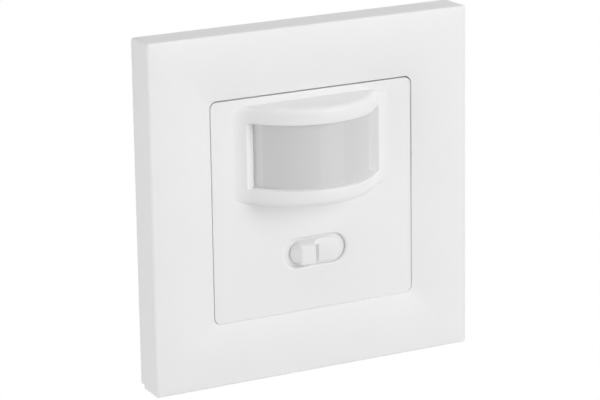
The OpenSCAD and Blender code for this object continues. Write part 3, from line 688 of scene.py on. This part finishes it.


# Milky lens with painted light and shade in upright segments, told apart by the angle about the hood's
# axis: the lighter strips at the left edge are painted light against the shadow of the window's side, and
# the small steps between the others are painted light and shade for how light falls on the facets
def lens_material(name, colour, segments):
    material, nodes, links, shader = new_material(name)
    coords = nodes.new("ShaderNodeTexCoord")
    place = nodes.new("ShaderNodeSeparateXYZ")
    links.new(coords.outputs["Object"], place.inputs["Vector"])
    ahead = nodes.new("ShaderNodeMath")
    ahead.operation = "SUBTRACT"
    ahead.inputs[0].default_value = HOOD_AXIS_Y * MM
    links.new(place.outputs["Y"], ahead.inputs[1])
    angle = nodes.new("ShaderNodeMath")
    angle.operation = "ARCTAN2"
    links.new(place.outputs["X"], angle.inputs[0])
    links.new(ahead.outputs["Value"], angle.inputs[1])
    along = nodes.new("ShaderNodeMapRange")
    along.inputs["From Min"].default_value = math.radians(-RAMP_HALF)
    along.inputs["From Max"].default_value = math.radians(RAMP_HALF)
    links.new(angle.outputs["Value"], along.inputs["Value"])
    ramp = nodes.new("ShaderNodeValToRGB")
    ramp.color_ramp.interpolation = "CONSTANT"
    steps = ramp.color_ramp.elements
    steps.remove(steps[1])
    steps[0].position = 0.0
    steps[0].color = opaque(colour, segments[0][1])
    # Each segment's colour is the lens colour times its painted light or shade factor
    for start, tone in segments[1:]:
        steps.new((start + RAMP_HALF) / (2 * RAMP_HALF)).color = opaque(colour, tone)
    links.new(along.outputs["Result"], ramp.inputs["Fac"])
    links.new(ramp.outputs["Color"], shader.inputs["Base Color"])
    fine = noise_node(nodes, links, LENS_SCALE)
    vary_roughness(nodes, links, fine, shader.inputs["Roughness"], *LENS_ROUGHNESS)
    return material


# Painted light and shade on the lens's segments: angle in degrees at which each starts, and its
# brightness; the two strips from -90 and -58 degrees are painted light that lifts the shadow of the
# window's left side
LENS_PAINTED_SHADING = ((-90.0, 1.1), (-58.0, 1.05), (-54.0, 0.985), (-8.8, 1.01), (12.5, 0.985), (58.0, 1.02))
BY_SLOT = {
    "white_plastic": plastic("white_plastic", (0.86, 0.86, 0.86), 0.42),
    "lens_plastic": lens_material("lens_plastic", (0.66, 0.66, 0.665), LENS_PAINTED_SHADING),
    "grey_plastic": plastic("grey_plastic", (0.17, 0.17, 0.18), 0.5, 1800.0, 0.25, 0.05),
    "black_plastic": plastic("black_plastic", (0.03, 0.03, 0.035), 0.45, 1800.0, 0.2, 0.1),
    "insulator_brown": plastic("insulator_brown", (0.28, 0.14, 0.06), 0.5, 1500.0, 0.2, 0.12),
    "trimmer_blue": plastic("trimmer_blue", (0.05, 0.16, 0.5), 0.35, 1800.0, 0.1, 0.04),
    "dial_cream": plastic("dial_cream", (0.8, 0.74, 0.55), 0.45, 1800.0, 0.1, 0.03),
    "film_yellow": plastic("film_yellow", (0.72, 0.5, 0.08), 0.35, 1800.0, 0.1, 0.04),
    "capacitor_blue": plastic("capacitor_blue", (0.03, 0.06, 0.2), 0.3, 1200.0, 0.1, 0.06),
    "varistor_blue": plastic("varistor_blue", (0.08, 0.25, 0.55), 0.3, 500.0, 0.4, 0.06),
    "cell_orange": plastic("cell_orange", (0.7, 0.32, 0.08), 0.3, 900.0, 0.1, 0.06),
    "filter_glass": plastic("filter_glass", (0.06, 0.06, 0.07), 0.12, 1200.0, 0.05, 0.05),
    "board_green": board("board_green", (0.04, 0.2, 0.09)),
    "zinc_steel": metal("zinc_steel", (0.62, 0.63, 0.65), 0.46, (1.0, 1.0, 0.05)),
    "nickel": metal("nickel", (0.72, 0.7, 0.66), 0.28),
    "brass": metal("brass", (0.72, 0.55, 0.25), 0.3),
}


def dress(obj, material):
    obj.data.materials.clear()
    obj.data.materials.append(material)


for entry in frame["record"]["subparts"]:
    node = frame["nodes"][entry["node"]]
    for material_slot in node.material_slots:
        material_slot.material = BY_SLOT[entry["material_slot"]]

for maker, node, body, slot in (
        (make_frame, "cover_frame", "base", "white_plastic"),
        (make_cover, "sensor_cover", "base", "white_plastic"),
        (make_lens, "fresnel_lens", "base", "lens_plastic"),
        (make_knob, "slide_knob", "mode_slide", "white_plastic")):
    piece = maker()
    dress(piece, BY_SLOT[slot])
    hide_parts(node)
    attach(piece, body)


# Direction from the origin: azimuth in degrees from the front to the right, and elevation
def direction(azimuth, elevation):
    a = math.radians(azimuth)
    e = math.radians(elevation)
    return Vector((math.sin(a) * math.cos(e), -math.cos(a) * math.cos(e), math.sin(e)))


# Camera at the photograph's place: angles, distance and shift solved from the frame's corners
CAMERA_AZIMUTH = -28.158
CAMERA_ELEVATION = 15.08
CAMERA_ROLL = math.radians(-0.864)
CAMERA_DISTANCE = 642.9
CAMERA_SIDE = -0.757
CAMERA_RISE = 1.86
FOCAL_PIXELS = 2843.8
IMAGE_WIDTH = 600
SENSOR_WIDTH = 36.0
CLIP_START = 0.01
CLIP_END = 50.0

back = direction(CAMERA_AZIMUTH, CAMERA_ELEVATION)
level_right = Vector((0.0, 0.0, 1.0)).cross(back).normalized()
level_up = back.cross(level_right)
right = math.cos(CAMERA_ROLL) * level_right + math.sin(CAMERA_ROLL) * level_up
up = -math.sin(CAMERA_ROLL) * level_right + math.cos(CAMERA_ROLL) * level_up
place = (CAMERA_DISTANCE * back - CAMERA_SIDE * right - CAMERA_RISE * up) * MM
camera_data = bpy.data.cameras.new("camera")
camera_data.sensor_width = SENSOR_WIDTH
camera_data.lens = FOCAL_PIXELS * SENSOR_WIDTH / IMAGE_WIDTH
camera_data.clip_start = CLIP_START
camera_data.clip_end = CLIP_END
camera = bpy.data.objects.new("camera", camera_data)
camera.matrix_world = Matrix.Translation(place) @ Matrix((right, up, back)).transposed().to_4x4()
bpy.context.scene.collection.objects.link(camera)
bpy.context.scene.camera = camera


# Is 1 for the camera's, mirrored and refracted rays, which see plain white, and 0 for the rest
def seen_as_white(nodes, links):
    path = nodes.new("ShaderNodeLightPath")
    first = nodes.new("ShaderNodeMath")
    first.operation = "MAXIMUM"
    second = nodes.new("ShaderNodeMath")
    second.operation = "MAXIMUM"
    links.new(path.outputs["Is Camera Ray"], first.inputs[0])
    links.new(path.outputs["Is Glossy Ray"], first.inputs[1])
    links.new(first.outputs[0], second.inputs[0])
    links.new(path.outputs["Is Transmission Ray"], second.inputs[1])
    return second.outputs[0]


# World: soft light from all round, plain white where it is seen
WHITE = (1.0, 1.0, 1.0, 1.0)
SOFT_STRENGTH = 0.235
PAGE_STRENGTH = 1.0

world = bpy.data.worlds.new("studio")
world.use_nodes = True
bpy.context.scene.world = world
nodes = world.node_tree.nodes
links = world.node_tree.links
nodes.clear()
soft = nodes.new("ShaderNodeBackground")
soft.inputs["Color"].default_value = WHITE
soft.inputs["Strength"].default_value = SOFT_STRENGTH
page = nodes.new("ShaderNodeBackground")
page.inputs["Color"].default_value = WHITE
page.inputs["Strength"].default_value = PAGE_STRENGTH
choose = nodes.new("ShaderNodeMixShader")
output = nodes.new("ShaderNodeOutputWorld")
links.new(seen_as_white(nodes, links), choose.inputs["Fac"])
links.new(soft.outputs[0], choose.inputs[1])
links.new(page.outputs[0], choose.inputs[2])
links.new(choose.outputs[0], output.inputs["Surface"])

# Floor well below, as the switch hangs on a wall, in metres
FLOOR_Z = -0.8
FLOOR_SIZE = 8.0
FLOOR_CELLS = 8
FLOOR_COLOUR = (0.9, 0.9, 0.9)
FLOOR_ROUGHNESS = 0.8

bm = bmesh.new()
bmesh.ops.create_grid(bm, x_segments=FLOOR_CELLS, y_segments=FLOOR_CELLS, size=FLOOR_SIZE / 2)
bmesh.ops.translate(bm, verts=bm.verts[:], vec=(0.0, 0.0, FLOOR_Z))
floor_mesh = bpy.data.meshes.new("floor")
bm.to_mesh(floor_mesh)
bm.free()
floor = bpy.data.objects.new("floor", floor_mesh)
bpy.context.scene.collection.objects.link(floor)
floor_material, nodes, links, shader = new_material("pale_floor")
shader.inputs["Base Color"].default_value = opaque(FLOOR_COLOUR)
shader.inputs["Roughness"].default_value = FLOOR_ROUGHNESS
glow = nodes.new("ShaderNodeEmission")
glow.inputs["Strength"].default_value = PAGE_STRENGTH
blend = nodes.new("ShaderNodeMixShader")
links.new(seen_as_white(nodes, links), blend.inputs["Fac"])
links.new(shader.outputs[0], blend.inputs[1])
links.new(glow.outputs[0], blend.inputs[2])
links.new(blend.outputs[0], nodes["Material Output"].inputs["Surface"])
dress(floor, floor_material)

# Soft lamps: name, azimuth and elevation in degrees, size in metres, power in watts
LAMP_DISTANCE = 1.5
LAMP_TARGET = Vector((0.0, 0.0, 0.0))
LAMPS = [
    ("key", 30.0, 15.0, 1.4, 15.8),
    ("side", -90.0, 0.0, 1.4, 11.0),
    ("top", 0.0, 80.0, 1.4, 5.8),
    ("rear", 165.0, -20.0, 0.8, 8.0),
]

for name, azimuth, elevation, size, power in LAMPS:
    data = bpy.data.lights.new(name, "AREA")
    data.shape = "DISK"
    data.size = size
    data.energy = power
    lamp = bpy.data.objects.new(name, data)
    lamp.location = direction(azimuth, elevation) * LAMP_DISTANCE
    aim = LAMP_TARGET - lamp.location
    lamp.rotation_euler = aim.to_track_quat("-Z", "Y").to_euler()
    bpy.context.scene.collection.objects.link(lamp)

bpy.context.scene.view_settings.view_transform = "Standard"
